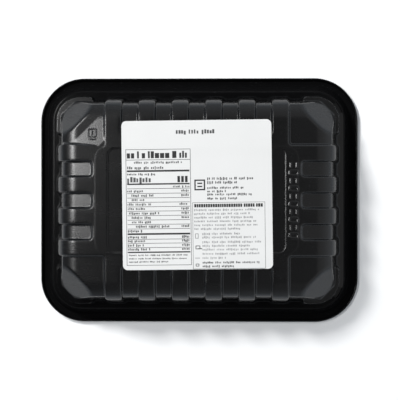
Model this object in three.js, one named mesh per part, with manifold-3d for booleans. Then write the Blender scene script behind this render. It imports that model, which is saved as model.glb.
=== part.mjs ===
// A shut black plastic meat tray, lying on its film lid with the base up and a square label on the base.
// Millimetres, +Z up. The origin is under the middle of the pack, on the surface that it lies on.
// The long side runs along X. An inset is a distance in from the rim's outline.
import * as THREE from 'three';
import { mergeVertices } from 'three/addons/utils/BufferGeometryUtils.js';
import Module from 'manifold-3d';

const wasm = await Module();
wasm.setup();

// Rim outline and film lid
const PACK_LENGTH = 271.5;
const PACK_WIDTH = 208.5;
const RIM_RADIUS = 37.3;
const FILM_THICKNESS = 0.5;
const FILM_INSET = 0.6;
const LIP_HEIGHT = 3.8;
const FLANGE_HEIGHT = 1.8;

// Lower wall and the ledge round the ribbed body
const WALL_FOOT = { inset: 6.5, z: 2.2 };
const LEDGE_EDGE = { inset: 12.9, z: 13.5 };
const LEDGE_INNER = { inset: 18.7, z: 15.1 };

// Body: base plane, rounded shoulder, and the ribs that stand out of the walls
const BASE_HEIGHT = 42;
const SHOULDER_INSET = 38;
const SHOULDER_CURVE = 0.0184;
const WALL_LEAN = 0.25;
const RIB_FOOT_INSET = 15.2;
const RIB_FOOT_HEIGHT = 10;
const RIB_STRAIGHT_HEIGHT = 34;
const RIB_FLANK_LEAN = 0.09;
const RIB_END_RADIUS = 2.9;

// Ribs and grooves on the long and the short sides
const LONG_SIDE = { ribs: 6, pitch: 27.4, halfWidth: 7.1 };
const SHORT_SIDE = { ribs: 4, pitch: 25.9, halfWidth: 6.8 };
const GROOVE_END_INSET = 50.2;
const GROOVE_END_RADIUS = 3;
const GROOVE_END_HEIGHT = 40.6;
const GROOVE_SLOPE = 0.105;
const GROOVE_BEND_INSET = 36;
const GROOVE_TOP_INSET = 24.9;

// Corners: sunk squares, slanting facets, and low lugs that keep stacked trays apart
const CORNER_DROP = 2.5;
const NOTCH_RADIUS = 2.6;
const FACET_START = 113.6;
const FACET_SLOPE = 0.9;
const LUG = { foot: 15.8, top: 18, height: 24, fromX: 88.2, fromY: 56 };

// Middle of the base: a faint raised field with a shallow panel sunk into it
const FIELD = { halfX: 83.4, halfY: 44.2, radius: 10, rise: 0.25 };
const PANEL = { halfX: 73, halfY: 42.7, radius: 6, depth: 1, lean: 0.6 };

// Slanting pad in one corner square, which falls away from the square's inner corner
const PAD_TOP = [[-104.5, 44, 39.1], [-74, 44, 41.85], [-74, 75.5, 38.8]];
const PAD_BOTTOM_HEIGHT = 34;

// Label
const LABEL_WIDTH = 122.6;
const LABEL_HEIGHT = 121.9;
const LABEL_RADIUS = 4;
const LABEL_THICKNESS = 0.3;
const LABEL_CENTRE = { x: 0.3, y: 4.6 };
const LABEL_TURN = THREE.MathUtils.degToRad(0.7);

const CORNER_STEPS = 10;
const FILLET_STEPS = 3;

// Points of a closed outline that turns round each [x, y, radius] corner on an arc
function roundedOutline(corners, z, steps) {
  const points = [];
  corners.forEach(([x, y, radius], i) => {
    const corner = new THREE.Vector2(x, y);
    const before = corners[(i + corners.length - 1) % corners.length];
    const after = corners[(i + 1) % corners.length];
    const back = new THREE.Vector2(before[0], before[1]).sub(corner).normalize();
    const ahead = new THREE.Vector2(after[0], after[1]).sub(corner).normalize();
    const halfAngle = Math.acos(back.dot(ahead)) / 2;
    const inward = back.clone().add(ahead).normalize();
    const centre = corner.clone().addScaledVector(inward, radius / Math.sin(halfAngle));
    const start = corner.clone().addScaledVector(back, radius / Math.tan(halfAngle)).sub(centre);
    const end = corner.clone().addScaledVector(ahead, radius / Math.tan(halfAngle)).sub(centre);
    const sweep = Math.atan2(start.cross(end), start.dot(end));
    for (let step = 0; step <= steps; step += 1) {
      const point = start.clone().rotateAround(new THREE.Vector2(), (sweep * step) / steps).add(centre);
      points.push([point.x, point.y, z]);
    }
  });
  return points;
}

function roundedRectangle(halfX, halfY, radius, z) {
  const corners = [[halfX, -halfY], [halfX, halfY], [-halfX, halfY], [-halfX, -halfY]];
  return roundedOutline(corners.map(([x, y]) => [x, y, radius]), z, CORNER_STEPS);
}

// A ring parallel to the rim's outline
function ring(inset, z) {
  const radius = Math.max(RIM_RADIUS - inset, GROOVE_END_RADIUS);
  return roundedRectangle(PACK_LENGTH / 2 - inset, PACK_WIDTH / 2 - inset, radius, z);
}

// A closed solid through rings of equally many points, with a flat cap at each end
function loft(rings) {
  const count = rings[0].length;
  const index = [];
  for (let level = 0; level < rings.length - 1; level += 1) {
    for (let i = 0; i < count; i += 1) {
      const low = level * count + i;
      const lowNext = level * count + ((i + 1) % count);
      index.push(low, lowNext, lowNext + count, low, lowNext + count, low + count);
    }
  }
  const outline = rings[0].map(([x, y]) => new THREE.Vector2(x, y));
  const lastOutline = rings[rings.length - 1].map(([x, y]) => new THREE.Vector2(x, y));
  const lastStart = (rings.length - 1) * count;
  for (const [a, b, c] of THREE.ShapeUtils.triangulateShape(outline, [])) {
    index.push(a, c, b);
  }
  for (const [a, b, c] of THREE.ShapeUtils.triangulateShape(lastOutline, [])) {
    index.push(lastStart + a, lastStart + b, lastStart + c);
  }
  const geometry = new THREE.BufferGeometry();
  geometry.setAttribute('position', new THREE.Float32BufferAttribute(rings.flat(2), 3));
  geometry.setIndex(index);
  return toSolid(geometry);
}

function toSolid(geometry) {
  const bare = geometry.clone();
  bare.deleteAttribute('normal');
  bare.deleteAttribute('uv');
  const merged = mergeVertices(bare, 1e-4);
  const vertProperties = new Float32Array(merged.attributes.position.array);
  const triVerts = new Uint32Array(merged.index.array);
  return new wasm.Manifold(new wasm.Mesh({ numProp: 3, vertProperties, triVerts }));
}

function toGeometry(solid) {
  const mesh = solid.getMesh();
  const geometry = new THREE.BufferGeometry();
  geometry.setAttribute('position', new THREE.BufferAttribute(mesh.vertProperties, 3));
  geometry.setIndex(new THREE.BufferAttribute(mesh.triVerts, 1));
  geometry.computeVertexNormals();
  return geometry;
}

function join(solids) {
  return solids.reduce((whole, solid) => whole.add(solid));
}

// Height of the base with its rounded shoulder, and of the grooves' sloping floors
function baseHeight(inset) {
  return BASE_HEIGHT - SHOULDER_CURVE * Math.max(0, SHOULDER_INSET - inset) ** 2;
}

function grooveHeight(inset) {
  const straight = GROOVE_END_HEIGHT - GROOVE_SLOPE * (GROOVE_END_INSET - inset);
  return straight - SHOULDER_CURVE * Math.max(0, GROOVE_BEND_INSET - inset) ** 2;
}

// Evenly spaced insets, from the first to the last
function spacedInsets(first, last, steps) {
  return Array.from({ length: steps + 1 }, (_, i) => first + ((last - first) * i) / steps);
}

function makeRim() {
  const lipFace = 0.5;
  const lipWidth = 1.6;
  const flangeInner = 3.8;
  return loft([
    ring(0, FILM_THICKNESS),
    ring(0, LIP_HEIGHT - lipFace),
    ring(lipFace, LIP_HEIGHT),
    ring(lipWidth, LIP_HEIGHT),
    ring(lipWidth + lipFace, FLANGE_HEIGHT + 0.1),
    ring(flangeInner, FLANGE_HEIGHT),
    ring(WALL_FOOT.inset, WALL_FOOT.z),
    ring(LEDGE_EDGE.inset, LEDGE_EDGE.z),
    ring(LEDGE_INNER.inset, LEDGE_INNER.z),
  ]);
}

// The body below the grooves' floors
function makeCore() {
  const foot = LEDGE_INNER.inset - WALL_LEAN * (LEDGE_INNER.z - RIB_FOOT_HEIGHT);
  const floors = spacedInsets(GROOVE_TOP_INSET, GROOVE_BEND_INSET, 3);
  return loft([
    ring(foot, RIB_FOOT_HEIGHT),
    ...floors.map((inset) => ring(inset, grooveHeight(inset))),
    ring(GROOVE_END_INSET, GROOVE_END_HEIGHT),
  ]);
}

// The corner squares follow the base's shoulder, a little below it
function makeCornerSquares() {
  const foot = LEDGE_INNER.inset - WALL_LEAN * (LEDGE_INNER.z - RIB_FOOT_HEIGHT);
  const shoulder = spacedInsets(GROOVE_TOP_INSET, SHOULDER_INSET, 4);
  const whole = loft([
    ring(foot, RIB_FOOT_HEIGHT),
    ...shoulder.map((inset) => ring(inset, baseHeight(inset) - CORNER_DROP)),
  ]);
  const inner = { x: 70, y: 40 };
  return whole.intersect(cornerBoxes(inner.x, inner.y));
}

// Four tall boxes that keep what lies beyond |x| and |y|
function cornerBoxes(fromX, fromY) {
  const size = 100;
  const boxes = [];
  for (const sideX of [-1, 1]) {
    for (const sideY of [-1, 1]) {
      const box = new THREE.BoxGeometry(size, size, size);
      box.translate(sideX * (fromX + size / 2), sideY * (fromY + size / 2), 0);
      boxes.push(toSolid(box));
    }
  }
  return join(boxes);
}

// One slanting cutter for each corner, above a plane that falls away outwards
function makeFacetCutters() {
  const inner = FACET_START - 10;
  const outer = FACET_START + 40;
  const ceiling = 70;
  const reach = 50;
  const planeHeight = (u) => BASE_HEIGHT - CORNER_DROP - FACET_SLOPE * (u - FACET_START);
  const section = new THREE.Shape([
    new THREE.Vector2(inner, planeHeight(inner)),
    new THREE.Vector2(outer, planeHeight(outer)),
    new THREE.Vector2(outer, ceiling),
    new THREE.Vector2(inner, ceiling),
  ]);
  return [1, 3, 5, 7].map((eighth) => {
    const cutter = new THREE.ExtrudeGeometry(section, { depth: 2 * reach, bevelEnabled: false });
    cutter.translate(0, 0, -reach);
    cutter.rotateX(Math.PI / 2);
    cutter.rotateZ((eighth * Math.PI) / 4);
    return toSolid(cutter);
  });
}

function makePad() {
  return loft([PAD_TOP.map(([x, y]) => [x, y, PAD_BOTTOM_HEIGHT]), PAD_TOP]);
}

function ribCentres(side) {
  return Array.from({ length: side.ribs }, (_, i) => (i - (side.ribs - 1) / 2) * side.pitch);
}

// Corners of one ribbed side as [along, outwards, radius], from its first rib to its last
function ribbedSide(side, halfWidth, ribEnd, grooveEnd, endRadius) {
  const corners = [];
  ribCentres(side).forEach((centre, i) => {
    if (i > 0) {
      corners.push([centre - side.pitch + halfWidth, grooveEnd, GROOVE_END_RADIUS]);
      corners.push([centre - halfWidth, grooveEnd, GROOVE_END_RADIUS]);
    }
    corners.push([centre - halfWidth, ribEnd, endRadius]);
    corners.push([centre + halfWidth, ribEnd, endRadius]);
  });
  return corners;
}

// The base's outline at a height: a block with ribs out to the walls and a notch at each corner
function ribbedOutline(z) {
  const below = Math.max(0, RIB_STRAIGHT_HEIGHT - z);
  const inset = RIB_FOOT_INSET + WALL_LEAN * (z - RIB_FOOT_HEIGHT);
  const halfLong = LONG_SIDE.halfWidth + RIB_FLANK_LEAN * below;
  const halfShort = SHORT_SIDE.halfWidth + RIB_FLANK_LEAN * below;
  const radius = RIB_END_RADIUS + RIB_FLANK_LEAN * below;
  const across = ribbedSide(
    SHORT_SIDE, halfShort, PACK_LENGTH / 2 - inset, PACK_LENGTH / 2 - GROOVE_END_INSET, radius);
  const along = ribbedSide(
    LONG_SIDE, halfLong, PACK_WIDTH / 2 - inset, PACK_WIDTH / 2 - GROOVE_END_INSET, radius);
  const notchX = along[along.length - 1][0];
  const notchY = across[across.length - 1][0];
  return roundedOutline([
    ...across.map(([y, x, r]) => [x, y, r]),
    [notchX, notchY, NOTCH_RADIUS],
    ...along.map(([x, y, r]) => [-x, y, r]),
    [-notchX, notchY, NOTCH_RADIUS],
    ...across.map(([y, x, r]) => [-x, -y, r]),
    [-notchX, -notchY, NOTCH_RADIUS],
    ...along.map(([x, y, r]) => [x, -y, r]),
    [notchX, -notchY, NOTCH_RADIUS],
  ], z, FILLET_STEPS);
}

// The ribs and the middle of the base, cut off by the rounded shoulder
function makeRibbedBase() {
  const outer = 6;
  const shoulder = spacedInsets(14, SHOULDER_INSET, 7);
  const cap = loft([
    ring(outer, 5),
    ring(outer, 26),
    ...shoulder.map((inset) => ring(inset, baseHeight(inset))),
  ]);
  const top = BASE_HEIGHT + 1;
  const ribs = loft([RIB_FOOT_HEIGHT, RIB_STRAIGHT_HEIGHT, top].map((z) => ribbedOutline(z)));
  return ribs.intersect(cap);
}

function makeField() {
  const top = BASE_HEIGHT + FIELD.rise;
  return loft([
    roundedRectangle(FIELD.halfX, FIELD.halfY, FIELD.radius, BASE_HEIGHT - 2),
    roundedRectangle(FIELD.halfX, FIELD.halfY, FIELD.radius, BASE_HEIGHT),
    roundedRectangle(FIELD.halfX - 0.5, FIELD.halfY - 0.5, FIELD.radius - 0.5, top),
  ]);
}

function makePanelCutter() {
  const floor = BASE_HEIGHT + FIELD.rise - PANEL.depth;
  const above = 1.5;
  const grow = PANEL.lean * above;
  return loft([
    roundedRectangle(PANEL.halfX - grow, PANEL.halfY - grow, PANEL.radius - grow, floor),
    roundedRectangle(PANEL.halfX, PANEL.halfY, PANEL.radius, floor + above),
  ]);
}

// Low lugs that wrap the four corners of the body, above the ledge
function makeLugs() {
  const band = loft([ring(LUG.foot, RIB_FOOT_HEIGHT), ring(LUG.top, LUG.height)]);
  return band.intersect(cornerBoxes(LUG.fromX, LUG.fromY));
}

function makeTray() {
  let body = join([makeCore(), makeCornerSquares(), makePad()]);
  for (const cutter of makeFacetCutters()) {
    body = body.subtract(cutter);
  }
  return join([makeRim(), body, makeRibbedBase(), makeField(), makeLugs()]).subtract(makePanelCutter());
}

function plate(halfX, halfY, radius, thickness) {
  const points = roundedRectangle(halfX, halfY, radius, 0).map(([x, y]) => new THREE.Vector2(x, y));
  return new THREE.ExtrudeGeometry(new THREE.Shape(points), { depth: thickness, bevelEnabled: false });
}

function addMesh(group, name, geometry, look) {
  const mesh = new THREE.Mesh(geometry, new THREE.MeshStandardMaterial(look));
  mesh.name = name;
  group.add(mesh);
  return mesh;
}

const pack = new THREE.Group();

const trayLook = { color: 0x0b0b0c, roughness: 0.32, metalness: 0, flatShading: true };
addMesh(pack, 'tray', toGeometry(makeTray()), trayLook);

const filmHalfX = PACK_LENGTH / 2 - FILM_INSET;
const filmHalfY = PACK_WIDTH / 2 - FILM_INSET;
const film = plate(filmHalfX, filmHalfY, RIM_RADIUS - FILM_INSET, FILM_THICKNESS);
addMesh(pack, 'lid_film', film, { color: 0x1a1a1b, roughness: 0.2, metalness: 0 });

const labelSheet = plate(LABEL_WIDTH / 2, LABEL_HEIGHT / 2, LABEL_RADIUS, LABEL_THICKNESS);
const label = addMesh(pack, 'label', labelSheet, { color: 0xeceeed, roughness: 0.7, metalness: 0 });
label.position.set(LABEL_CENTRE.x, LABEL_CENTRE.y, BASE_HEIGHT + FIELD.rise);
label.rotation.z = LABEL_TURN;

export default pack;
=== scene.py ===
# The looks of a shut black plastic meat tray, lying on its film lid with a paper label on its base.
# Lengths are in millimetres, and those of the lights and the floor in metres.
# An inset is a distance in from the rim's outline.
import math
import random

import bpy
import numpy as np
from mathutils import Matrix, Vector


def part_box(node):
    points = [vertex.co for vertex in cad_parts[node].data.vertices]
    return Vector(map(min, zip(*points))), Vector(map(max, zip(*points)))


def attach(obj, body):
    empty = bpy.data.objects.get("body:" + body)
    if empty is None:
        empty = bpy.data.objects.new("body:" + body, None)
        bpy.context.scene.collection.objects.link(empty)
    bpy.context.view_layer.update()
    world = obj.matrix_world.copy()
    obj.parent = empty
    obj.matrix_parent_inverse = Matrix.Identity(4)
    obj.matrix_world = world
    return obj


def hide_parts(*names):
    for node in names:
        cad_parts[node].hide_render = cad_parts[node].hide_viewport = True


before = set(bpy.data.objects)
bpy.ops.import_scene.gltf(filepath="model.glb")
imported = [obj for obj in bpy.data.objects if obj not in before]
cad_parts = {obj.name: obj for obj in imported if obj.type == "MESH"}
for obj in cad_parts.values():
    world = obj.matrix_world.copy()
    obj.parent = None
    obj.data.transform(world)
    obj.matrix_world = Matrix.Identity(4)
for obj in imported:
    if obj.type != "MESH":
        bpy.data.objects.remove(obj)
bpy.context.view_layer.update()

MM = 0.001

# The tray's reach, from the frame
tray_low, tray_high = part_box("tray")
HALF_X = tray_high.x / MM
HALF_Y = tray_high.y / MM
SEAL_Z = tray_low.z / MM
FIELD_Z = tray_high.z / MM

# All rings run parallel to the rim, and where the core begins their corners have shrunk to a point
RIM_RADIUS = 37.3
CORE_X = HALF_X - RIM_RADIUS
CORE_Y = HALF_Y - RIM_RADIUS
ARC_STEPS = 48

# Rim, flange, lower wall and ledge, as inset and height
LOW_PROFILE = (
    (0.0, 3.1), (0.3, 3.6), (0.9, 3.8), (1.6, 3.55), (2.0, 2.6), (2.5, 1.9), (3.2, 1.9),
    (6.5, 1.9), (13.0, 15.0), (18.7, 15.1), (45.0, 20.0),
)
LEDGE_INNER = 19.0
LEDGE_INNER_Z = 15.1

# Reach of the tray's parts in duller copies of its plastic, which paint shade, and in glossier copies, which
# paint sheen; the right ledge's painted sheen ends some degrees round the corners
PAINTED_SHADE_WALL_Z = 28.5
PAINTED_SHADE_WALL_INSET = 23.8
PAINTED_SHADE_RIM_INSET = 13.7
LIP_WIDTH = 1.9
PAINTED_SHEEN_LEDGE = {"from_x": 112.5, "rise": 1.0, "turn": 16.0, "faint_turn": 42.0}
LUG_ZONE = {"drop": 1.0, "near": 0.4}

# The body reaches a little further out on its left; the shift grows over the lower wall
BODY_SHIFT = {"x": -0.45, "from_inset": 6.5, "to_inset": 12.9}

# Insets of the tray's rings, as start, end and step, and the lines of the grid inside them
RING_SPANS = (
    (0, 4, 0.25), (4, 6, 0.5), (6, 7.6, 0.4), (7.6, 12, 0.9), (12, 14, 0.45), (14, 26, 0.26),
    (26, RIM_RADIUS, 0.45),
)
FINE_STEP = 0.45
COARSE_STEP = 2.2
SQUARE_LINES = {"x": 77.5, "y": 47.5, "step": 2.8}

# Base, shoulder and grooves
FIELD_RISE = 0.06
BASE_Z = FIELD_Z - FIELD_RISE
SHOULDER_INSET = 38.1
SHOULDER_CURVE = 0.0184
WALL_TOP_INSET = 24.9
GROOVE_END_INSET = 50.2
GROOVE_END_Z = 40.6
GROOVE_SLOPE = 0.094
GROOVE_BEND_INSET = 36.0
GROOVE_END_RADIUS = 3.0

# Ribs on the long and the short sides
LONG_SIDE = {"ribs": 6, "pitch": 27.4, "half": 7.1, "foot": 15.65}
SHORT_SIDE = {"ribs": 4, "pitch": 25.9, "half": 6.8, "foot": 15.45}
RIB_FOOT_Z = 10.0
RIB_STRAIGHT_Z = 34.0
WALL_LEAN = 0.25
FLANK_LEAN = 0.09
FLANK_WIDTH = 1.0
EDGE_CROWN = 0.28
EDGE_REACH = 2.2
RIB_END_RADIUS = 2.9
RIB_LIMIT_ROUNDS = 14
ABOVE_ALL = FIELD_Z + 2
OUTER_ZONE = 26.0

# Rounding of the edges where the ribs and the grooves turn down into the walls
RIB_TURN_INSET = 26.5
RIB_TURN_RADIUS = 6.3
GROOVE_TURN_INSET = 28.0
GROOVE_TURN_RADIUS = 5.5
TURN_SHARE = 0.97

# Rounding of all edges: its reach by inset, and the points averaged as share of the reach, count and weight
SOFTENING = ((3.0, 0.25), (8.0, 0.3), (14.0, 0.25), (15.5, 0.3), (20.5, 0.3), (23.5, 0.55), (30.0, 0.5))
SOFTENING_RINGS = ((0.5, 6, 0.8), (1.0, 12, 0.35))

# Corners: the squares' drop, the facets across the diagonals, and the lugs on the ledge
CORNER_DROP = 2.5
NOTCH_RADIUS = 2.6
FACET_START = 113.6
FACET_SLOPE = 0.9
FACET_BLEND = 1.7
LUG_TOP_Z = 24.0
LUG_INSET = 18.0
LUG_FROM_X = 88.2
LUG_FROM_Y = 56.0
LUG_LEAN = 0.17
LUG_RADIUS = 2.5

# Field and panel, as half sizes, and the pad in the corner at the upper left
FIELD = {"x": 83.0, "y": 44.2, "radius": 10.0, "ramp": 0.5}
PANEL = {"x": 72.6, "y": 42.7, "radius": 6.0, "ramp": 1.1, "depth": 0.36}
PAD_START = 105.5
PAD_SLOPE = 0.134
PAD_TOP_GAP = 0.15
PAD_EDGE_TURN = 0.095
PAD_EDGE_MIDDLE = 92.0

# Plain raised marks: a row of boxes and twin bars beside the panel, and on the pad a box above a bar
MARK_RISE = 0.4
MARK_SINK = 0.05
MARK_DEPTH = 0.5
MARK_STEP = 0.25
MARK_ROW = {
    "x": 79.3, "pitch": 6.4, "count": 10, "long": 4.0, "wide": 2.0, "half": 0.5, "apart": 5.0, "ramp": 1.55,
    "margin_x": 0.9, "margin_y": 1.2,
}
BOX_MARK = {
    "x": -85.6, "y": 55.4, "half": 3.2, "radius": 1.0, "stroke": 0.45, "ramp": 0.9, "inner": 0.1,
    "bar_below": 2.2, "bar_radius": 0.4, "margin": 1.2, "margin_below": 3.8,
}

# Film under the tray, with its seal
FILM_GAP = 0.6
FILM_TOP_GAP = 0.02
FILM_RINGS = (0, 0.5, 1.5, 3.0, 4.4, 4.9, 5.4, 5.9, 6.4, 8.0, 11.0, 15.0, 20.0)
FILM_LINES = (72, 50)
FILM_ARC_STEPS = 24
SEAL_WIDTH = 6.0
SEAL_GROOVE = {"depth": 0.04, "half": 0.6}
FILM_RISE = 0.2
FILM_RISE_WIDTH = 14
FILM_RIPPLE = {"level": 0.6, "share": 0.35, "x": 9, "bend": 2, "bend_y": 31, "y": 23, "start_y": 0.7}

# Label: its sheet, and how it lies over the panel and the ribs
LABEL_WIDTH = 122.6
LABEL_HEIGHT = 121.9
LABEL_RADIUS = 4.0
LABEL_TURN = math.radians(0.7)
LABEL_PAPER = 0.12
LABEL_GAP = 0.04
LABEL_EDGE_DROP = 0.03
LABEL_SAG = 0.22
LABEL_SAG_EDGE = {"width": 12, "share": 0.25}
GROOVE_SAG = 0.1
GROOVE_SAG_WIDTH = 14
LABEL_RIPPLE = {"height": 0.02, "x": 17, "start_x": 1.3, "y": 13, "start_y": -0.4}
LABEL_STEP = 1.6
LABEL_RINGS = (0, 0.08, 0.3, 1.0, 2.0, 3.0)
LABEL_ARC_STEPS = 10

# Print, placed from the label's upper left corner rightwards and down: half thickness and longest block
INK = 0.03
LONGEST_BLOCK = 6.0

# Letters of the small print: how wide, and how far up and down they reach beyond the line
LETTER = {"widths": (0.5, 0.8), "rises": (0, 0, 0.22, 0.38), "drops": (0, 0, 0, 0.3)}

# Table on the left: frame as left, top, right, bottom and stroke, ends of its rules, and its bold blocks
TABLE_FRAME = (3.2, 23.2, 56.3, 118.2, 0.4)
TABLE_LEFT = 4.2
TABLE_RIGHT = 55.3
TITLE = {
    "widths": (1.5, 2.6, 3.4), "gaps": (0.8, 0.8, 0.8, 0.8, 2.4), "shortest_end": 1.6,
    "tops": (24.9, 26.4, 26.4), "bottom": 30.6,
}
BARS = {"count": 3, "pitch": 3.1, "left": 45.4, "right": 47.5, "top": 45.4, "bottom": 50.5}

# Rules of the table: thick ones as middle and stroke, thin ones as left end, right end and middle
THICK_RULES = ((41.0, 1.45), (51.7, 1.2), (92.5, 1.4), (107.4, 1.1))
THIN_RULES = ((3.4, 56.1, 31.9), (TABLE_LEFT, TABLE_RIGHT, 55.4))
THIN_RULE = 0.42

# Lines over the table as left end, right end, middle, height, pitch and the lengths of the words
HEAD_LINES = (
    (10.0, 49.6, 34.2, 1.3, 1.37, (3, 8, 9, 5)),
    (4.4, 33.9, 38.6, 1.6, 1.5, (7, 4, 3)),
    (4.3, 28.1, 43.8, 1.2, 1.3, (6, 3, 7)),
    (4.3, 23.9, 48.6, 3.2, 2.5, (8,)),
    (41.7, 55.1, 54.1, 1.1, 1.25, (1, 5, 5)),
)
# Rows of the table as left end, right end, and left end of the short column or 0
TABLE_ROWS = (
    (4.3, 17.5, 48.4), (7.6, 26.5, 48.4), (7.8, 19.8, 0), (4.3, 23.6, 46.9), (4.5, 19.5, 48.4),
    (5.4, 30.2, 48.4), (7.6, 24.6, 48.4), (7.8, 23.8, 0), (11.0, 39.5, 48.4), (4.4, 16.6, 0),
)
TABLE_TOP = 57.6
TABLE_PITCH = 3.62
ROW_RULE_BELOW = 1.75
# Last rows and lines under the table as middle and right end
LAST_ROWS = ((95.1, 20.8), (98.4, 20.6), (101.9, 17.4), (105.2, 23.0))
LAST_LEFT = 4.4
LAST_RULE_BELOW = 1.7
FOOT_LINES = ((109.9, 53.1), (112.7, 53.1), (115.3, 37.1))
FOOT_LEFT = 5.0
SHORT_COLUMN = {"last_left": 48.6, "right": 55.0, "lift": 0.2}

# Words at the top on the right as left and right end, then lines as middle, right end and height
TOP_WORDS = ((44.6, 53.0), (55.1, 63.6), (65.7, 76.9))
TOP_MIDDLE = 9.7
UPPER_LINES = (
    (48.0, 107.6, 1.5), (51.2, 94.5, 1.5), (55.5, 99.3, 1.25), (58.4, 85.3, 1.25), (60.9, 105.8, 1.25),
    (64.2, 95.9, 1.25),
)
UPPER_LEFT = 69.7
# Bold heading on the right, then lines as middle and right end
HEADING = {
    "left": 58.9, "right": 114.0, "top": 68.5, "bottom": 71.2,
    "widths": (1.25, 1.75), "gaps": (0.35, 0.35, 0.35, 0.35, 1.3),
}
FULL_LINES = ((73.5, 112.5), (76.6, 104.5), (79.7, 107.5), (82.8, 110.0), (85.9, 111.5), (89.0, 96.8))
FULL_LEFT = 58.8
LIST_LINES = (
    (93.0, 96.6), (95.9, 109.0), (99.8, 113.5), (102.9, 104.6), (105.9, 110.6), (109.3, 113.2),
    (112.7, 85.0),
)
END_LINES = ((116.5, 112.2), (119.5, 92.4))
LIST_LEFT = 65.2

# Kinds of small print as height, pitch and the lengths of the words, the upper lines' without height
ROW_TYPE = (1.35, 1.32, (5, 7, 3, 4))
LAST_TYPE = (1.35, 1.32, (7, 4, 3))
COLUMN_TYPE = (1.35, 1.3, (5,))
FOOT_TYPE = (0.85, 0.95, (3, 7, 5, 8))
TOP_TYPE = (2.4, 2.15, (9,))
UPPER_TYPE = (1.3, (2, 6, 4, 7))
FULL_TYPE = (1.15, 1.3, (4, 7, 3, 8))
LIST_TYPE = (1.2, 1.3, (4, 7, 3, 8, 5))

# Boxes on the right as left, top, right, bottom and stroke, and bars as both ends, middle and stroke
BOLD_BOXES = (
    (59.2, 48.5, 68.0, 57.3, 1.1), (59.6, 102.4, 63.4, 105.4, 0.55), (59.6, 117.2, 62.4, 119.4, 0.45),
)
FINE_BOXES = ((57.4, 67.2, 116.7, 121.6, 0.3), (59.4, 92.6, 62.0, 96.6, 0.35))
PALE_BOXES = ((59.3, 112.2, 62.9, 113.2, 0.3),)
BOLD_BARS = ((61.6, 65.6, 51.6, 1.1), (61.6, 65.6, 54.2, 1.1), (61.2, 65.0, 105.0, 0.7))

# Noise in the materials: width of its blotches, detail, and stretch along the axes
EVEN = (1, 1, 1)
NOISES = {
    "cloud": (22.0, 4.0, EVEN), "streak": (2.2, 2.0, (9, 1, 9)), "grain": (0.55, 2.0, EVEN),
    "speck": (1.1, 1.0, EVEN), "crease": (6.0, 2.0, (1, 4, 1)), "haze": (14.0, 3.0, EVEN),
    "fibre": (0.45, 3.0, (2.5, 1, 1)), "shade": (30.0, 2.0, EVEN),
}

# Relief of the materials, and where the specks' noise turns into dust and how much paler dust is
PLASTIC_GRAIN = 0.0013
FILM_CREASE = 0.05
PAPER_GRAIN = 0.006
DUST_RANGE = (0.72, 0.78)
DUST_GAIN = 9.0

# Camera, as the photograph's
CAMERA_PLACE = Vector((38.6, 7.54, 818.7)) * MM
CAMERA_AIM = Vector((23.09, 7.48, 3.0)) * MM
CAMERA_SHIFT = (-0.0647, -0.0218)
LENS = 85.64
SENSOR = 36.0

# Light panels: name, leans from straight up in degrees, distance, size, radiance, and if gloss shows it
LIGHT_PANELS = (
    ("softbox", -29, 12, 1.6, (0.18, 0.66), 26.0, True),
    ("key", -44, 45.6, 6.4, (1.06, 1.06), 124.0, False),
    ("fill", 36, 0, 1.6, (1.6, 1.6), 0.34, True),
    ("top", 8, 36, 1.6, (1.4, 1.16), 0.27, True),
    ("bottom", 8, -35, 1.6, (1.4, 1.16), 0.13, True),
)

# Studio: its level from the horizon at 0 to straight up at 1, and how far its dark part leans to the left
STUDIO_LEVELS = (
    (0.0, 1.0), (0.15, 0.95), (0.35, 0.7), (0.62, 0.42),
    (0.77, 0.2), (0.87, 0.06), (0.96, 0.02), (1.0, 0.02),
)
DARK_LEAN = 0.52
DARK_LEAN_AIM = (-0.966, -0.259, 0)
STUDIO_TINT = (0.91, 0.99, 1.08)

# Floor
FLOOR_REACH = 12.0
FLOOR_TONE = (0.85, 0.85, 0.85)
FLOOR_ROUGHNESS = 0.8

# The tray's plastics: name, colour, roughness and sheen, and their numbers; all are one black plastic, in
# duller copies on the walls and the rim that paint shade and in glossier copies on the right ledge that
# paint sheen
BASE_BLACK = (0.0015, 0.0015, 0.0017)
WALL_BLACK = (0.002, 0.002, 0.0022)
RIM_BLACK = (0.003, 0.003, 0.0032)
PLASTICS = (
    ("tray_plastic", BASE_BLACK, 0.26, 0.62),
    ("tray_ledge_painted_sheen", BASE_BLACK, 0.1, 0.62),
    ("tray_wall_painted_shade", WALL_BLACK, 0.2, 0.14),
    ("tray_rim_painted_shade", RIM_BLACK, 0.2, 0.01),
    ("tray_ledge_end_fading_sheen", BASE_BLACK, 0.12, 0.36),
)
BASE, LEDGE, WALL, RIM, LEDGE_END = range(len(PLASTICS))

# Film, and paper and inks as tone and tone of their darker fibres
FILM_BLACK = (0.01, 0.01, 0.011)
FILM_ROUGHNESS = 0.16
PAPER_TONES = ((0.664, 0.663, 0.652), (0.65, 0.649, 0.638))
PAPER_ROUGHNESS = 0.7
INK_TONES = {"ink_bold": (0.025, 0.015), "ink_fine": (0.08, 0.05), "ink_pale": (0.34, 0.27)}
INK_ROUGHNESS = 0.6


def rounded_corner(a, b, radius):
    """Distance outside the region where a and b are both below zero, with its corner rounded."""
    outside = np.hypot(np.maximum(a + radius, 0), np.maximum(b + radius, 0))
    return outside + np.minimum(np.maximum(a, b) + radius, 0) - radius


def inset_of(x, y):
    """Distance of points in from the rim's outline."""
    return -rounded_corner(np.abs(x) - HALF_X, np.abs(y) - HALF_Y, RIM_RADIUS)


def base_height(inset):
    return BASE_Z - SHOULDER_CURVE * np.maximum(0, SHOULDER_INSET - inset) ** 2


def groove_height(inset):
    straight = GROOVE_END_Z - GROOVE_SLOPE * np.maximum(0, GROOVE_END_INSET - inset)
    return straight - SHOULDER_CURVE * np.maximum(0, GROOVE_BEND_INSET - inset) ** 2


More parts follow.
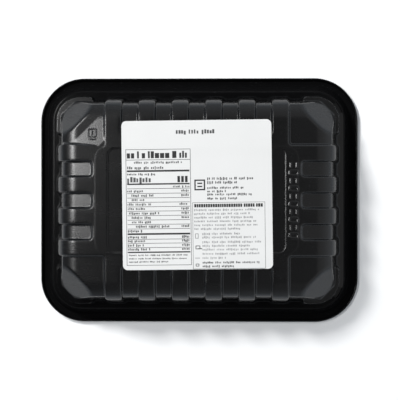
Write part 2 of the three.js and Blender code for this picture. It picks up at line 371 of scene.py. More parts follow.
def turned_down(inset, start, radius):
    """Drop of a surface that turns down along a circle outside the inset start."""
    beyond = np.clip(start - inset, 0, radius * TURN_SHARE)
    return radius - np.sqrt(radius ** 2 - beyond ** 2)


def outermost_rib(side):
    """Distance of a side's outermost ribs from its middle."""
    return (side["ribs"] - 1) / 2 * side["pitch"]


def from_rib_centre(along, side):
    """Distance along a side to its nearest rib's centre line."""
    past_ribs = np.abs(along) - outermost_rib(side)
    folded = np.abs(np.abs(along) % side["pitch"] - side["pitch"] / 2)
    return np.where(past_ribs > 0, past_ribs, folded)


def rib_limit(from_centre, side_inset, side):
    """Height up to which a point is inside a rib's leaning walls."""
    low = np.zeros_like(from_centre)
    high = np.full_like(from_centre, ABOVE_ALL)
    for _ in range(RIB_LIMIT_ROUNDS):
        middle = (low + high) / 2
        below = np.maximum(0, RIB_STRAIGHT_Z - middle)
        half = side["half"] + FLANK_WIDTH / 2 + FLANK_LEAN * below
        end = side["foot"] + WALL_LEAN * (middle - RIB_FOOT_Z)
        radius = RIB_END_RADIUS + FLANK_LEAN * below
        inside = rounded_corner(from_centre - half, end - side_inset, radius) < 0
        low = np.where(inside, middle, low)
        high = np.where(inside, high, middle)
    return low


def pocket_distance(along, side_inset, side):
    """Distance outside the grooves of a side, seen from above; past its outermost ribs there are none."""
    beside = side["half"] - from_rib_centre(along, side)
    distance = rounded_corner(beside, side_inset - GROOVE_END_INSET, GROOVE_END_RADIUS)
    return np.where(np.abs(along) > outermost_rib(side), GROOVE_END_INSET, distance)


def pocket_clearance(x, y):
    """Distance from the edge of the nearest groove or corner square, below zero inside it."""
    long_pockets = pocket_distance(x, HALF_Y - np.abs(y), LONG_SIDE)
    short_pockets = pocket_distance(y, HALF_X - np.abs(x), SHORT_SIDE)
    notch_x = outermost_rib(LONG_SIDE) + LONG_SIDE["half"]
    notch_y = outermost_rib(SHORT_SIDE) + SHORT_SIDE["half"]
    turned = np.where(in_pad_corner(x, y), PAD_EDGE_TURN * (np.abs(x) - PAD_EDGE_MIDDLE), 0)
    squares = rounded_corner(notch_x - np.abs(x), notch_y + turned - np.abs(y), NOTCH_RADIUS)
    return np.minimum(np.minimum(long_pockets, short_pockets), squares)


def rectangle_share(x, y, area):
    """1 inside a rounded rectangle, 0 outside, with a ramp between."""
    distance = rounded_corner(np.abs(x) - area["x"], np.abs(y) - area["y"], area["radius"])
    return np.clip(0.5 - distance / area["ramp"], 0, 1)


def eased(share):
    """A share held between 0 and 1, with a soft start and end."""
    share = np.clip(share, 0, 1)
    return share ** 2 * (3 - 2 * share)


def smooth_min(a, b, blend):
    """The lower of two heights, with the crease between them rounded."""
    overlap = np.maximum(blend - np.abs(a - b), 0) / blend
    return np.minimum(a, b) - overlap ** 2 * blend / 4


def in_corner(x, y):
    """Whether points lie past the outermost ribs of both sides."""
    return (np.abs(x) > outermost_rib(LONG_SIDE)) & (np.abs(y) > outermost_rib(SHORT_SIDE))


def in_pad_corner(x, y):
    return (x < 0) & (y > 0)


def corner_floor(x, y, inset):
    """Height of the corner squares, with their facets and the one pad."""
    floor = base_height(inset) - CORNER_DROP
    outwards = (np.abs(x) + np.abs(y)) / math.sqrt(2)
    pad = np.clip(PAD_SLOPE * (PAD_START - outwards), 0, CORNER_DROP - PAD_TOP_GAP)
    floor = np.where(in_pad_corner(x, y), floor + pad, floor)
    facet = BASE_Z - CORNER_DROP - FACET_SLOPE * (outwards - FACET_START)
    return smooth_min(floor, facet, FACET_BLEND)


def lug_height(x, y, inset):
    ends = np.maximum(LUG_FROM_X - np.abs(x), LUG_FROM_Y - np.abs(y))
    outside = rounded_corner(LUG_INSET - inset, ends, LUG_RADIUS)
    return LUG_TOP_Z - np.maximum(0, outside) / LUG_LEAN


def open_floor_height(x, y, inset, clearance):
    """Height of the floor of the grooves and the corner squares, and 0 where the base lies over it."""
    groove_floor = groove_height(inset) - turned_down(inset, GROOVE_TURN_INSET, GROOVE_TURN_RADIUS)
    open_floor = np.where(in_corner(x, y), corner_floor(x, y, inset), groove_floor)
    return np.where((clearance > FLANK_WIDTH) & (inset > OUTER_ZONE), 0, open_floor)


def wall_height(x, y, inset):
    """Height of the wall between the ledge and the floors of the grooves and the corner squares."""
    corner_edge = base_height(WALL_TOP_INSET) - CORNER_DROP
    edge_z = np.where(in_corner(x, y), corner_edge, groove_height(WALL_TOP_INSET))
    climb = (edge_z - LEDGE_INNER_Z) / (WALL_TOP_INSET - LEDGE_INNER)
    wall = LEDGE_INNER_Z + climb * (inset - LEDGE_INNER)
    return np.where(inset < OUTER_ZONE, wall, FIELD_Z)


def top_height(x, y, inset, clearance, open_floor):
    """Height of the base and the ribs' crests, falling to the open floor past their crowned edges."""
    rib_crest = base_height(inset) - turned_down(inset, RIB_TURN_INSET, RIB_TURN_RADIUS)
    field = FIELD_RISE * rectangle_share(x, y, FIELD) - PANEL["depth"] * rectangle_share(x, y, PANEL)
    crown = EDGE_CROWN * (1 - np.clip(clearance / EDGE_REACH, 0, 1)) ** 2
    raised = np.clip(0.5 + clearance / FLANK_WIDTH, 0, 1)
    return open_floor + (rib_crest + field - crown - open_floor) * raised


def limit_by_ribs(x, y, inset):
    """Height up to which a point near the walls is inside a rib of either side."""
    limit = np.full_like(x, ABOVE_ALL)
    outer = inset < OUTER_ZONE
    if outer.any():
        by_long = rib_limit(from_rib_centre(x[outer], LONG_SIDE), HALF_Y - np.abs(y[outer]), LONG_SIDE)
        by_short = rib_limit(from_rib_centre(y[outer], SHORT_SIDE), HALF_X - np.abs(x[outer]), SHORT_SIDE)
        limit[outer] = np.maximum(by_long, by_short)
    return limit


def sharp_height(x, y):
    """Height of the tray's upper surface before its edges are rounded."""
    inset = inset_of(x, y)
    clearance = pocket_clearance(x, y)
    open_floor = open_floor_height(x, y, inset, clearance)
    top = top_height(x, y, inset, clearance, open_floor)
    between_ribs = np.minimum(open_floor, wall_height(x, y, inset))
    body = np.maximum(between_ribs, np.minimum(top, limit_by_ribs(x, y, inset)))
    low = np.interp(inset, *zip(*LOW_PROFILE))
    return np.maximum(np.maximum(low, body), lug_height(x, y, inset))


def tray_height(x, y):
    """Height of the tray's upper surface, its edges rounded by averaging over a small disc."""
    reach = np.interp(inset_of(x, y), *zip(*SOFTENING))
    total = sharp_height(x, y)
    weight = 1.0
    for share, steps, part in SOFTENING_RINGS:
        for step in range(steps):
            angle = 2 * math.pi * (step + 0.25) / steps
            shift_x = share * math.cos(angle) * reach
            shift_y = share * math.sin(angle) * reach
            total = total + part * sharp_height(x + shift_x, y + shift_y)
            weight += part
    return total / weight


def grid_lines(half, edges, fine, coarse):
    """Positions from -half to half: close together near the edges, wider apart elsewhere."""
    reach = 1.5
    near = [edge + step for edge in edges for step in np.arange(-reach, reach + fine / 2, fine)]
    stops = sorted(p for p in [*near, *(-p for p in near)] if abs(p) < half - fine / 2)
    lines = [-half]
    for stop in [*stops, half]:
        start = lines[-1]
        gap = stop - start
        if gap < fine * 0.6 and stop != half:
            continue
        count = math.ceil(gap / coarse)
        lines.extend([start + gap * (i + 1) / count for i in range(count)])
    return np.array(lines)


def flank_edges(side):
    centres = [side["pitch"] * (i + 0.5) for i in range(side["ribs"] // 2)]
    return [centre + sign * side["half"] for centre in centres for sign in (-1, 1)]


def curve_edges(area, axis):
    """Places along an axis that cover the round corners of an area."""
    return [area[axis] - share * area["radius"] for share in (0, 0.25, 0.5, 0.75, 1)]


def ring_outline(half_x, half_y, radius, x_lines, y_lines, arc_steps):
    """Points of a rounded rectangle, anticlockwise, with the lines' spacing on its straight sides."""
    reach_x, reach_y = half_x - radius, half_y - radius
    xs = x_lines * (reach_x / x_lines[-1])
    ys = y_lines * (reach_y / y_lines[-1])
    angles = np.linspace(0, math.pi / 2, arc_steps + 1)[1:-1]
    parts = []
    for quarter in range(4):
        turn = quarter * math.pi / 2
        if quarter % 2 == 0:
            sign = 1 - quarter
            side = np.column_stack((np.full(len(ys), sign * half_x), sign * ys))
        else:
            sign = 2 - quarter
            side = np.column_stack((-sign * xs, np.full(len(xs), sign * half_y)))
        sign_x = 1 if quarter in (0, 3) else -1
        sign_y = 1 if quarter in (0, 1) else -1
        arc_x = sign_x * reach_x + radius * np.cos(turn + angles)
        arc_y = sign_y * reach_y + radius * np.sin(turn + angles)
        parts.extend((side, np.column_stack((arc_x, arc_y))))
    return np.concatenate(parts)


def ring_grid_links(x_count, y_count, arc_steps, start):
    """Index of the inner grid's point that each station of the innermost ring falls on."""
    grid = start + np.arange(x_count * y_count).reshape(x_count, y_count)
    sides = (grid[-1, :], grid[::-1, -1], grid[0, ::-1], grid[:, 0])
    links = []
    for side in sides:
        links.extend(side)
        links.extend([side[-1]] * (arc_steps - 1))
    return links, grid


def grid_faces(index):
    """Squares between the neighbouring points of a grid of point numbers."""
    corners = (index[:-1, :-1], index[1:, :-1], index[1:, 1:], index[:-1, 1:])
    return np.stack(corners, axis=-1).reshape(-1, 4)


def ringed_sheet(half_x, half_y, rings, x_lines, y_lines, arc_steps):
    """Plan points and faces of a rounded rectangle: rings given as (inset, radius), then a grid inside."""
    outlines = [
        ring_outline(half_x - inset, half_y - inset, radius, x_lines, y_lines, arc_steps)
        for inset, radius in rings
    ]
    count = len(outlines[0])
    grid_x, grid_y = np.meshgrid(x_lines, y_lines, indexing="ij")
    points = np.concatenate([*outlines, np.column_stack((grid_x.ravel(), grid_y.ravel()))])
    links, grid = ring_grid_links(len(x_lines), len(y_lines), arc_steps, count * len(rings))
    rows = [list(range(level * count, (level + 1) * count)) for level in range(len(rings))]
    rows.append([int(link) for link in links])
    faces = []
    for outer, inner in zip(rows, rows[1:]):
        for i in range(count):
            j = (i + 1) % count
            face = [outer[i], outer[j], inner[j], inner[i]]
            faces.append(face if inner[i] != inner[j] else face[:3])
    faces.extend(grid_faces(grid).tolist())
    return points, faces, count


def new_piece(name, points, faces, material, smooth_angle=50):
    """A mesh from points in millimetres, riding on the pack."""
    mesh = bpy.data.meshes.new(name)
    mesh.from_pydata((np.asarray(points) * MM).tolist(), [], faces)
    mesh.validate()
    mesh.shade_smooth()
    mesh.set_sharp_from_angle(angle=math.radians(smooth_angle))
    piece = bpy.data.objects.new(name, mesh)
    bpy.context.scene.collection.objects.link(piece)
    mesh.materials.append(material)
    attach(piece, "root")
    return piece


def spaced(spans):
    """Insets from (start, end, step) spans, without the last end."""
    return [inset for start, end, step in spans for inset in np.arange(start, end - step / 2, step)]


def tray_zone(x, y, heights):
    """Number of a point's plastic: duller copies that paint shade on the walls and the rim, glossier ones
    that paint sheen on the right ledge; the lugs are like the base, but the lower left one takes the walls'
    painted shade.
    """
    inset = inset_of(x, y)
    # Low on the walls the duller copy of the plastic paints shade
    low = (heights < PAINTED_SHADE_WALL_Z) & (inset < PAINTED_SHADE_WALL_INSET)
    near_lug = heights < lug_height(x, y, inset) + LUG_ZONE["near"]
    # The lugs keep the base plastic, but the lower left one takes the walls' duller copy: painted shade
    on_lug = near_lug & (heights > LUG_TOP_Z - LUG_ZONE["drop"]) & ((x > 0) | (y > 0))
    turn = np.degrees(np.arctan2(np.abs(y) - CORE_Y, np.maximum(x - CORE_X, 0.1)))
    # The right ledge takes glossier copies of the plastic: a painted sheen that fades round the corners
    on_painted_sheen_ledge = (heights < LEDGE_INNER_Z + PAINTED_SHEEN_LEDGE["rise"]) & (x > PAINTED_SHEEN_LEDGE["from_x"])
    zone = np.where(low & ~on_lug, WALL, BASE)
    zone = np.where(on_painted_sheen_ledge & (turn < PAINTED_SHEEN_LEDGE["faint_turn"]), LEDGE_END, zone)
    zone = np.where(on_painted_sheen_ledge & (turn < PAINTED_SHEEN_LEDGE["turn"]), LEDGE, zone)
    # The rim and its lip take duller copies of the plastic: painted shade
    zone = np.where(inset < PAINTED_SHADE_RIM_INSET, RIM, zone)
    return np.where(inset < LIP_WIDTH, WALL, zone)


def tray_lines(half, side, axis):
    """Grid lines along an axis, closer at the ribs' flanks, the panel's corners and the corner squares."""
    squares = [float(p) for p in np.arange(SQUARE_LINES[axis], half, SQUARE_LINES["step"])]
    edges = [*flank_edges(side), *curve_edges(PANEL, axis), *squares]
    return grid_lines(half, edges, FINE_STEP, COARSE_STEP)


def make_tray(materials):
    """The tray's shell, closed underneath; a face's plastic is the lowest number of its points' plastics."""
    x_lines = tray_lines(CORE_X, LONG_SIDE, "x")
    y_lines = tray_lines(CORE_Y, SHORT_SIDE, "y")
    rings = [(inset, RIM_RADIUS - inset) for inset in spaced(RING_SPANS)]
    plan, faces, count = ringed_sheet(HALF_X, HALF_Y, rings, x_lines, y_lines, ARC_STEPS)
    heights = tray_height(plan[:, 0], plan[:, 1])
    inset = inset_of(plan[:, 0], plan[:, 1])
    leftness = np.clip(-plan[:, 0] / CORE_X, 0, 1)
    climbed = np.interp(inset, [BODY_SHIFT["from_inset"], BODY_SHIFT["to_inset"]], [0, 1])
    shifted = plan[:, 0] + BODY_SHIFT["x"] * leftness * climbed
    top = np.column_stack((shifted, plan[:, 1], heights))
    foot = np.column_stack((plan[:count], np.full(count, SEAL_Z)))
    start = len(top)
    faces.extend(ring_wall(start, count))
    faces.append([start + i for i in reversed(range(count))])
    tray = new_piece("tray_shell", np.concatenate((top, foot)), faces, materials[0])
    for material in materials[1:]:
        tray.data.materials.append(material)
    zone = np.append(tray_zone(plan[:, 0], plan[:, 1], heights), np.full(count, RIM))
    tray.data.polygons.foreach_set("material_index", [int(zone[face].min()) for face in faces])
    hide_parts("tray")


def box_distance(x, y, centre_x, centre_y, half_x, half_y, radius):
    return rounded_corner(np.abs(x - centre_x) - half_x, np.abs(y - centre_y) - half_y, radius)


def mark_row_distance(x, y):
    """Distance outside a row of raised marks: outlined boxes and twin bars by turns."""
    nearest = np.full_like(x, 99.0)
    half = MARK_ROW["half"]
    for number in range(MARK_ROW["count"]):
        at = (number - (MARK_ROW["count"] - 1) / 2) * MARK_ROW["pitch"]
        if number % 2:
            aside = np.abs(x - MARK_ROW["x"]) - MARK_ROW["apart"] / 2
            mark = box_distance(aside, y, 0, at, half, MARK_ROW["wide"], half * 0.9)
        else:
            reach = MARK_ROW["long"] - half
            box = box_distance(x, y, MARK_ROW["x"], at, reach, MARK_ROW["wide"], MARK_ROW["wide"] * 0.8)
            mark = np.abs(box) - half
        nearest = np.minimum(nearest, mark)
    return nearest


def box_mark_distance(x, y):
    """Distance outside a box's outline, the bar in it and the bar under it."""
    centre_x, centre_y, half = BOX_MARK["x"], BOX_MARK["y"], BOX_MARK["half"]
    stroke = BOX_MARK["stroke"]
    inner = BOX_MARK["inner"]
    bar_y = centre_y - half - BOX_MARK["bar_below"]
    outline = np.abs(box_distance(x, y, centre_x, centre_y, half, half, BOX_MARK["radius"])) - stroke
    under = box_distance(x, y, centre_x, bar_y, half, stroke, BOX_MARK["bar_radius"])
    inside = box_distance(x, y, centre_x, centre_y, inner, half * 0.4, inner) - stroke
    return np.minimum(np.minimum(outline, under), inside)


def make_mark(name, low, high, distance, ramp, material):
    """A small patch of the tray's surface that carries a raised mark and dips under it elsewhere."""
    xs = np.arange(low[0], high[0] + MARK_STEP / 2, MARK_STEP)
    ys = np.arange(low[1], high[1] + MARK_STEP / 2, MARK_STEP)
    grid_x, grid_y = np.meshgrid(xs, ys, indexing="ij")
    x, y = grid_x.ravel(), grid_y.ravel()
    share = np.clip(0.5 - distance(x, y) / ramp, 0, 1)
    ground = tray_height(x, y)
    top = np.column_stack((x, y, ground - MARK_SINK + (MARK_RISE + MARK_SINK) * share))
    bottom = np.column_stack((x, y, ground - MARK_DEPTH))
    index = np.arange(len(x)).reshape(grid_x.shape)
    quads = grid_faces(index)
    rim = [*index[:-1, 0], *index[-1, :-1], *index[:0:-1, -1], *index[0, :0:-1]]
    start = len(x)
    faces = quads.tolist() + (quads[:, ::-1] + start).tolist()
    for here, there in zip(rim, rim[1:] + rim[:1]):
        faces.append([int(here + start), int(there + start), int(there), int(here)])
    new_piece(name, np.concatenate((top, bottom)), faces, material)


def make_marks(material):
    reach = (MARK_ROW["count"] - 1) / 2 * MARK_ROW["pitch"] + MARK_ROW["wide"] + MARK_ROW["margin_y"]
    wide = MARK_ROW["long"] + MARK_ROW["margin_x"]
    low, high = (MARK_ROW["x"] - wide, -reach), (MARK_ROW["x"] + wide, reach)
    make_mark("base_marks", low, high, mark_row_distance, MARK_ROW["ramp"], material)
    half = BOX_MARK["half"] + BOX_MARK["margin"]
    low = (BOX_MARK["x"] - half, BOX_MARK["y"] - BOX_MARK["half"] - BOX_MARK["margin_below"])
    high = (BOX_MARK["x"] + half, BOX_MARK["y"] + half)
    make_mark("pad_box", low, high, box_mark_distance, BOX_MARK["ramp"], material)


def ring_wall(start, count):
    """Faces between a sheet's outermost ring and the ring under it, whose first point is number start."""
    return [[start + i, start + (i + 1) % count, (i + 1) % count, i] for i in range(count)]


def make_sheet(name, upper, lower, faces, count, material):
    """A closed sheet from its upper and lower points, which both start with their outermost ring."""
    start = len(upper)
    under = [[start + i for i in reversed(face)] for face in faces]
    points = np.concatenate((upper, lower))
    return new_piece(name, points, faces + under + ring_wall(start, count), material)


def film_height(x, y):
    """Rise of the film's underside: flat at the seal, a little up and faintly rippled inside it."""
    inset = inset_of(x, y)
    inside = eased((inset - SEAL_WIDTH) / FILM_RISE_WIDTH)
    across = np.sin(x / FILM_RIPPLE["x"] + FILM_RIPPLE["bend"] * np.sin(y / FILM_RIPPLE["bend_y"]))
    ripple = FILM_RIPPLE["share"] * across * np.sin(y / FILM_RIPPLE["y"] + FILM_RIPPLE["start_y"])
    groove = SEAL_GROOVE["depth"] * np.clip(1 - np.abs(inset - SEAL_WIDTH) / SEAL_GROOVE["half"], 0, 1)
    return FILM_RISE * inside * (FILM_RIPPLE["level"] + ripple) + groove


def make_film(material):
    """The lid film under the tray: a thin closed sheet."""
    rings = [(FILM_GAP + inset, RIM_RADIUS - FILM_GAP - inset) for inset in FILM_RINGS]
    x_lines = np.linspace(-CORE_X, CORE_X, FILM_LINES[0])
    y_lines = np.linspace(-CORE_Y, CORE_Y, FILM_LINES[1])
    plan, faces, count = ringed_sheet(HALF_X, HALF_Y, rings, x_lines, y_lines, FILM_ARC_STEPS)
    top = np.column_stack((plan, np.full(len(plan), SEAL_Z - FILM_TOP_GAP)))
    bottom = np.column_stack((plan, film_height(plan[:, 0], plan[:, 1])))
    film = make_sheet("film_sheet", top, bottom, faces, count, material)
    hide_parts("lid_film")


def label_place(right, down):
    """Plan place of a point given from the label's upper left corner."""
    low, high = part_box("label")
    centre_x = (low.x + high.x) / 2 / MM
    centre_y = (low.y + high.y) / 2 / MM
    across = np.asarray(right) - LABEL_WIDTH / 2
    up = LABEL_HEIGHT / 2 - np.asarray(down)
    cos, sin = math.cos(LABEL_TURN), math.sin(LABEL_TURN)
    return centre_x + cos * across - sin * up, centre_y + sin * across + cos * up


def label_top(x, y):
    """Height of the label's upper surface: it sinks a little over the panel and between the ribs."""
    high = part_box("label")[1]
    over_panel = eased((PANEL["y"] - np.abs(y)) / LABEL_SAG_EDGE["width"] + LABEL_SAG_EDGE["share"])
    over_groove = np.clip((np.abs(y) - PANEL["y"]) / GROOVE_SAG_WIDTH, 0, 1)
    between = 0.5 - 0.5 * np.cos(2 * math.pi * (x - LONG_SIDE["pitch"] / 2) / LONG_SIDE["pitch"])
    across = np.sin(x / LABEL_RIPPLE["x"] + LABEL_RIPPLE["start_x"])
    ripple = LABEL_RIPPLE["height"] * across * np.cos(y / LABEL_RIPPLE["y"] + LABEL_RIPPLE["start_y"])
    sunk = LABEL_SAG * over_panel + GROOVE_SAG * between * over_groove
    return high.z / MM - LABEL_GAP - sunk + ripple


def make_label(material):
    """The paper label: a thin sheet with rounded corners, closed all round."""
    half_u, half_v = LABEL_WIDTH / 2, LABEL_HEIGHT / 2
    reach_u, reach_v = half_u - LABEL_RADIUS, half_v - LABEL_RADIUS
    u_lines = np.linspace(-reach_u, reach_u, round(2 * reach_u / LABEL_STEP))
    v_lines = np.linspace(-reach_v, reach_v, round(2 * reach_v / LABEL_STEP))
    rings = [(inset, LABEL_RADIUS - inset) for inset in LABEL_RINGS]
    plan, faces, count = ringed_sheet(half_u, half_v, rings, u_lines, v_lines, LABEL_ARC_STEPS)
    x, y = label_place(plan[:, 0] + half_u, half_v - plan[:, 1])
    top_z = label_top(x, y)
    top_z[:count] -= LABEL_EDGE_DROP
    upper = np.column_stack((x, y, top_z))
    lower = np.column_stack((x, y, label_top(x, y) - LABEL_PAPER))
    sheet = make_sheet("label_sheet", upper, lower, faces, count, material)
    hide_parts("label")


def split_span(start, end, longest):
    """A span cut into equal stretches no longer than longest."""
    count = max(1, math.ceil((end - start) / longest))
    stops = [start + (end - start) * i / count for i in range(count + 1)]
    return list(zip(stops, stops[1:]))


def text_line(left, right, middle, height, pitch, words, draw):
    """Blocks that stand for the letters of one line of small print, as (left, right, top, bottom)."""
    blocks = []
    at = left
    letters_left = draw.choice(words)
    while at + pitch * 0.6 < right:
        if letters_left == 0:
            letters_left = draw.choice(words)
            at += pitch
            continue
        wide = pitch * draw.uniform(*LETTER["widths"])
        rise = draw.choice(LETTER["rises"])
        drop = draw.choice(LETTER["drops"])
        top = middle - height / 2 - rise * height
        blocks.append((at, min(at + wide, right), top, middle + height / 2 + drop * height))
        at += pitch
        letters_left -= 1
    return blocks


def frame_bars(left, top, right, bottom, thick):
    """Four bars that outline a box."""
    return [
        (left, right, top, top + thick), (left, right, bottom - thick, bottom),
        (left, left + thick, top, bottom), (right - thick, right, top, bottom),
    ]


def rule(left, right, middle, thick):
    return [(left, right, middle - thick / 2, middle + thick / 2)]


def title_blocks(draw):
    """Bold blocks of uneven widths and heights, for the table's title."""
    blocks = []
    at = TABLE_LEFT
    while at < TABLE_RIGHT - TITLE["shortest_end"]:
        wide = min(draw.choice(TITLE["widths"]), TABLE_RIGHT - at)
        blocks.append((at, at + wide, draw.choice(TITLE["tops"]), TITLE["bottom"]))
        at += wide + draw.choice(TITLE["gaps"])
    return blocks


def heading_blocks(draw):
    """Bold blocks of one height, close together, for the heading on the right."""
    blocks = []
    at = HEADING["left"]
    while at < HEADING["right"]:
        wide = draw.uniform(*HEADING["widths"])
        blocks.append((at, at + wide, HEADING["top"], HEADING["bottom"]))
        at += wide + draw.choice(HEADING["gaps"])
    return blocks


def short_column(left, middle, draw):
    """Small print of the column at the table's right edge, a little above the middle of its row."""
    return text_line(left, SHORT_COLUMN["right"], middle - SHORT_COLUMN["lift"], *COLUMN_TYPE, draw)


def row_text(draw):
    """Small print in the rows of the table, with the thin rules between them."""
    fine = []
    for row, (start, end, column) in enumerate(TABLE_ROWS):
        middle = TABLE_TOP + row * TABLE_PITCH
        fine += text_line(start, end, middle, *ROW_TYPE, draw)
        if column:
            fine += short_column(column, middle, draw)
        if row < len(TABLE_ROWS) - 1:
            fine += rule(TABLE_LEFT, TABLE_RIGHT, middle + ROW_RULE_BELOW, THIN_RULE)
    for row, (middle, end) in enumerate(LAST_ROWS):
        fine += text_line(LAST_LEFT, end, middle, *LAST_TYPE, draw)
        fine += short_column(SHORT_COLUMN["last_left"], middle, draw)
        if row < len(LAST_ROWS) - 1:
            fine += rule(TABLE_LEFT, TABLE_RIGHT, middle + LAST_RULE_BELOW, THIN_RULE)
    return fine


def left_side_print(draw):
    """Bold and small blocks of the table on the label's left."""
    bold = title_blocks(draw)
    for middle, thick in THICK_RULES:
        bold += rule(TABLE_LEFT, TABLE_RIGHT, middle, thick)
    for number in range(BARS["count"]):
        shift = number * BARS["pitch"]
        bold.append((BARS["left"] + shift, BARS["right"] + shift, BARS["top"], BARS["bottom"]))
    fine = frame_bars(*TABLE_FRAME)
    for thin_rule in THIN_RULES:
        fine += rule(*thin_rule, THIN_RULE)
    for line in HEAD_LINES:
        fine += text_line(*line, draw)
    fine += row_text(draw)
    for middle, end in FOOT_LINES:
        fine += text_line(FOOT_LEFT, end, middle, *FOOT_TYPE, draw)
    return bold, fine


def right_side_print(draw):
    """Bold, small and pale blocks of the label's right side."""
    bold, fine, pale = [], [], []
    for start, end in TOP_WORDS:
        fine += text_line(start, end, TOP_MIDDLE, *TOP_TYPE, draw)
    for middle, end, height in UPPER_LINES:
        fine += text_line(UPPER_LEFT, end, middle, height, *UPPER_TYPE, draw)
    bold += heading_blocks(draw)
    for middle, end in FULL_LINES:
        pale += text_line(FULL_LEFT, end, middle, *FULL_TYPE, draw)
    for blocks, lines in ((pale, LIST_LINES), (fine, END_LINES)):
        for middle, end in lines:
            blocks += text_line(LIST_LEFT, end, middle, *LIST_TYPE, draw)
    for blocks, boxes in ((bold, BOLD_BOXES), (fine, FINE_BOXES), (pale, PALE_BOXES)):
        for box in boxes:
            blocks += frame_bars(*box)
    for bar in BOLD_BARS:
        bold += rule(*bar)
    return bold, fine, pale


def print_box(left, right, top, bottom, base):
    """Points and faces of one thin box that follows the label, its points numbered from base."""
    x, y = label_place([left, right, right, left], [bottom, bottom, top, top])
    z = label_top(x, y)
    points = [*np.column_stack((x, y, z - INK)).tolist(), *np.column_stack((x, y, z + INK)).tolist()]
    faces = [[base + 3, base + 2, base + 1, base], [base + 4, base + 5, base + 6, base + 7]]
    for i in range(4):
        j = (i + 1) % 4
        faces.append([base + i, base + j, base + 4 + j, base + 4 + i])
    return points, faces


def make_print(inks):
    """The label's greyed print: thin boxes lying on the label."""
    draw = random.Random(11)
    bold, fine = left_side_print(draw)
    more_bold, more_fine, pale = right_side_print(draw)
    points, faces, ink_of_face = [], [], []
    for ink, blocks in enumerate((bold + more_bold, fine + more_fine, pale)):
        for left, right, top, bottom in blocks:
            for start, end in split_span(left, right, LONGEST_BLOCK):
                for upper, lower in split_span(top, bottom, LONGEST_BLOCK):
                    box_points, box_faces = print_box(start, end, upper, lower, len(points))
                    points.extend(box_points)
                    faces.extend(box_faces)
                    ink_of_face.extend([ink] * len(box_faces))
    sheet = new_piece("label_print", points, faces, inks[0], 20)
    for ink in inks[1:]:
        sheet.data.materials.append(ink)
    sheet.data.polygons.foreach_set("material_index", ink_of_face)


def new_material(name):
    """A node material, with its shader, node maker and links."""
    material = bpy.data.materials.new(name)
    material.use_nodes = True
    tree = material.node_tree
    return material, tree.nodes["Principled BSDF"], tree.nodes, tree.links


def add_noise(nodes, links, place, kind):
    """Noise of one of the kinds in NOISES."""
    size, detail, stretch = NOISES[kind]
    scaled = nodes.new("ShaderNodeVectorMath")
    scaled.operation = "MULTIPLY"
    scaled.inputs[1].default_value = [1 / (size * MM * part) for part in stretch]
    noise = nodes.new("ShaderNodeTexNoise")
    noise.inputs["Scale"].default_value = 1
    noise.inputs["Detail"].default_value = detail
    links.new(place, scaled.inputs[0])
    links.new(scaled.outputs[0], noise.inputs["Vector"])
    return noise.outputs["Fac"]


def add_range(nodes, links, value, low, high, start=0.3, end=0.7):
    """A value between low and high that follows another one between start and end."""
    spread = nodes.new("ShaderNodeMapRange")
    spread.inputs["From Min"].default_value = start
    spread.inputs["From Max"].default_value = end
    spread.inputs["To Min"].default_value = low
    spread.inputs["To Max"].default_value = high
    links.new(value, spread.inputs["Value"])
    return spread.outputs["Result"]


def add_sum(nodes, links, first, second):
    total = nodes.new("ShaderNodeMath")
    total.operation = "ADD"
    links.new(first, total.inputs[0])
    links.new(second, total.inputs[1])
    return total.outputs[0]


def add_blend(nodes, links, share, color, other):
    """Colour of the base where the share is 0, and of the other where it is 1."""
    mix = nodes.new("ShaderNodeMix")
    mix.data_type = "RGBA"
    mix.inputs["A"].default_value = (*color, 1)
    mix.inputs["B"].default_value = (*other, 1)
    links.new(share, mix.inputs["Factor"])
    return mix.outputs["Result"]


def add_bump(nodes, links, shader, height, depth):
    """Relief from a height between 0 and 1, depth millimetres deep."""
    bump = nodes.new("ShaderNodeBump")
    bump.inputs["Distance"].default_value = depth * MM
    links.new(height, bump.inputs["Height"])
    links.new(bump.outputs["Normal"], shader.inputs["Normal"])


def simple_material(name, color, roughness):
    material, shader, _, _ = new_material(name)
    shader.inputs["Base Color"].default_value = (*color, 1)
    shader.inputs["Roughness"].default_value = roughness
    return material


def plastic_material(name, color, roughness, level):
    """Black formed plastic: cloudy gloss, a fine grain, and a few pale specks of dust."""
    material, shader, nodes, links = new_material(name)
    place = nodes.new("ShaderNodeTexCoord").outputs["Object"]
    cloud = add_noise(nodes, links, place, "cloud")
    streak = add_noise(nodes, links, place, "streak")
    grain = add_noise(nodes, links, place, "grain")
    speck = add_noise(nodes, links, place, "speck")
    dust = add_range(nodes, links, speck, 0.0, 1.0, *DUST_RANGE)
    uneven = add_range(nodes, links, cloud, roughness * 0.95, roughness * 1.05)
    rub = add_range(nodes, links, streak, 0.0, roughness * 0.05)
    links.new(add_sum(nodes, links, uneven, rub), shader.inputs["Roughness"])
    pale = [part * DUST_GAIN for part in color]
    links.new(add_blend(nodes, links, dust, color, pale), shader.inputs["Base Color"])
    add_bump(nodes, links, shader, grain, PLASTIC_GRAIN)
    shader.inputs["Specular IOR Level"].default_value = level
    return material


def film_material(name, color, roughness):
    """Clear film over the dark inside: glossy, with a faint haze and fine creases."""
    material, shader, nodes, links = new_material(name)
    place = nodes.new("ShaderNodeTexCoord").outputs["Object"]
    crease = add_noise(nodes, links, place, "crease")
    haze = add_noise(nodes, links, place, "haze")
    links.new(add_range(nodes, links, haze, roughness * 0.8, roughness * 1.3), shader.inputs["Roughness"])
    lighter = [part * 1.8 for part in color]
    links.new(add_blend(nodes, links, haze, color, lighter), shader.inputs["Base Color"])
    add_bump(nodes, links, shader, crease, FILM_CREASE)
    return material


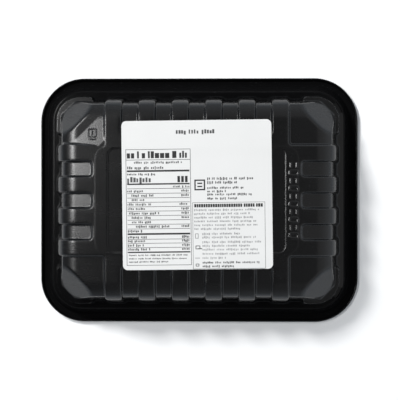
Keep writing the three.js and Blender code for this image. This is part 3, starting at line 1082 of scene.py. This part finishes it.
def paper_material(name, color, dark, roughness):
    """Smooth label paper or the ink on it: faint fibres in the tone and in the relief."""
    material, shader, nodes, links = new_material(name)
    place = nodes.new("ShaderNodeTexCoord").outputs["Object"]
    fibre = add_noise(nodes, links, place, "fibre")
    shade = add_noise(nodes, links, place, "shade")
    tone = add_range(nodes, links, add_sum(nodes, links, fibre, shade), 0.0, 1.0, 0.7, 1.3)
    links.new(add_blend(nodes, links, tone, dark, color), shader.inputs["Base Color"])
    links.new(add_range(nodes, links, fibre, roughness * 0.9, roughness * 1.1), shader.inputs["Roughness"])
    add_bump(nodes, links, shader, fibre, PAPER_GRAIN)
    return material


def make_camera():
    data = bpy.data.cameras.new("camera")
    data.lens = LENS
    data.sensor_width = SENSOR
    data.shift_x, data.shift_y = CAMERA_SHIFT
    camera = bpy.data.objects.new("camera", data)
    bpy.context.scene.collection.objects.link(camera)
    look = (CAMERA_AIM - CAMERA_PLACE).normalized()
    right = look.cross(Vector((0, 1, 0))).normalized()
    turn = Matrix((right, right.cross(look), -look)).transposed()
    camera.matrix_world = Matrix.Translation(CAMERA_PLACE) @ turn.to_4x4()
    bpy.context.scene.camera = camera


def make_light(name, lean_x, lean_y, distance, size, radiance, mirrored):
    """A soft light panel seen from the pack at the given leans from straight up, in degrees."""
    data = bpy.data.lights.new(name, "AREA")
    data.shape = "RECTANGLE"
    data.size, data.size_y = size
    data.energy = radiance * math.pi * size[0] * size[1]
    light = bpy.data.objects.new(name, data)
    bpy.context.scene.collection.objects.link(light)
    aim = Vector((math.tan(math.radians(lean_x)), math.tan(math.radians(lean_y)), 1)).normalized()
    across = Vector((1, 0, 0)).cross(aim).cross(aim).normalized() * -1
    turn = Matrix((across, aim.cross(across), aim)).transposed()
    light.matrix_world = Matrix.Translation(aim * distance) @ turn.to_4x4()
    light.visible_glossy = mirrored


def make_floor():
    mesh = bpy.data.meshes.new("floor")
    corners = [(-FLOOR_REACH, -FLOOR_REACH, 0), (FLOOR_REACH, -FLOOR_REACH, 0)]
    corners += [(FLOOR_REACH, FLOOR_REACH, 0), (-FLOOR_REACH, FLOOR_REACH, 0)]
    mesh.from_pydata(corners, [], [(0, 1, 2, 3)])
    floor = bpy.data.objects.new("floor", mesh)
    bpy.context.scene.collection.objects.link(floor)
    mesh.materials.append(simple_material("floor", FLOOR_TONE, FLOOR_ROUGHNESS))


def make_world():
    """A studio that is dark overhead and pale low down, with its dark part reaching lower on the left."""
    world = bpy.data.worlds.new("studio")
    bpy.context.scene.world = world
    world.use_nodes = True
    nodes, links = world.node_tree.nodes, world.node_tree.links
    direction = nodes.new("ShaderNodeTexCoord").outputs["Generated"]
    split = nodes.new("ShaderNodeSeparateXYZ")
    side = nodes.new("ShaderNodeVectorMath")
    lift = nodes.new("ShaderNodeMath")
    ramp = nodes.new("ShaderNodeValToRGB")
    side.operation = "DOT_PRODUCT"
    side.inputs[1].default_value = DARK_LEAN_AIM
    lift.operation = "MULTIPLY_ADD"
    links.new(direction, split.inputs[0])
    links.new(direction, side.inputs[0])
    links.new(add_range(nodes, links, side.outputs["Value"], 0, DARK_LEAN, 0, 1), lift.inputs[0])
    links.new(split.outputs["Z"], lift.inputs[1])
    links.new(split.outputs["Z"], lift.inputs[2])
    links.new(lift.outputs[0], ramp.inputs["Fac"])
    elements = ramp.color_ramp.elements
    for place, level in STUDIO_LEVELS:
        element = elements.new(place) if 0 < place < 1 else elements[0 if place == 0 else -1]
        element.color = (*(level * part for part in STUDIO_TINT), 1)
    links.new(ramp.outputs["Color"], nodes["Background"].inputs["Color"])


plastics = [plastic_material(*plastic) for plastic in PLASTICS]
make_tray(plastics)
make_marks(plastics[BASE])
make_film(film_material("lid_film", FILM_BLACK, FILM_ROUGHNESS))
make_label(paper_material("label_paper", *PAPER_TONES, PAPER_ROUGHNESS))
make_print([
    paper_material(name, (tone,) * 3, (dark,) * 3, INK_ROUGHNESS)
    for name, (tone, dark) in INK_TONES.items()
])
make_camera()
for panel in LIGHT_PANELS:
    make_light(*panel)
make_floor()
make_world()
bpy.context.scene.view_settings.view_transform = "Standard"
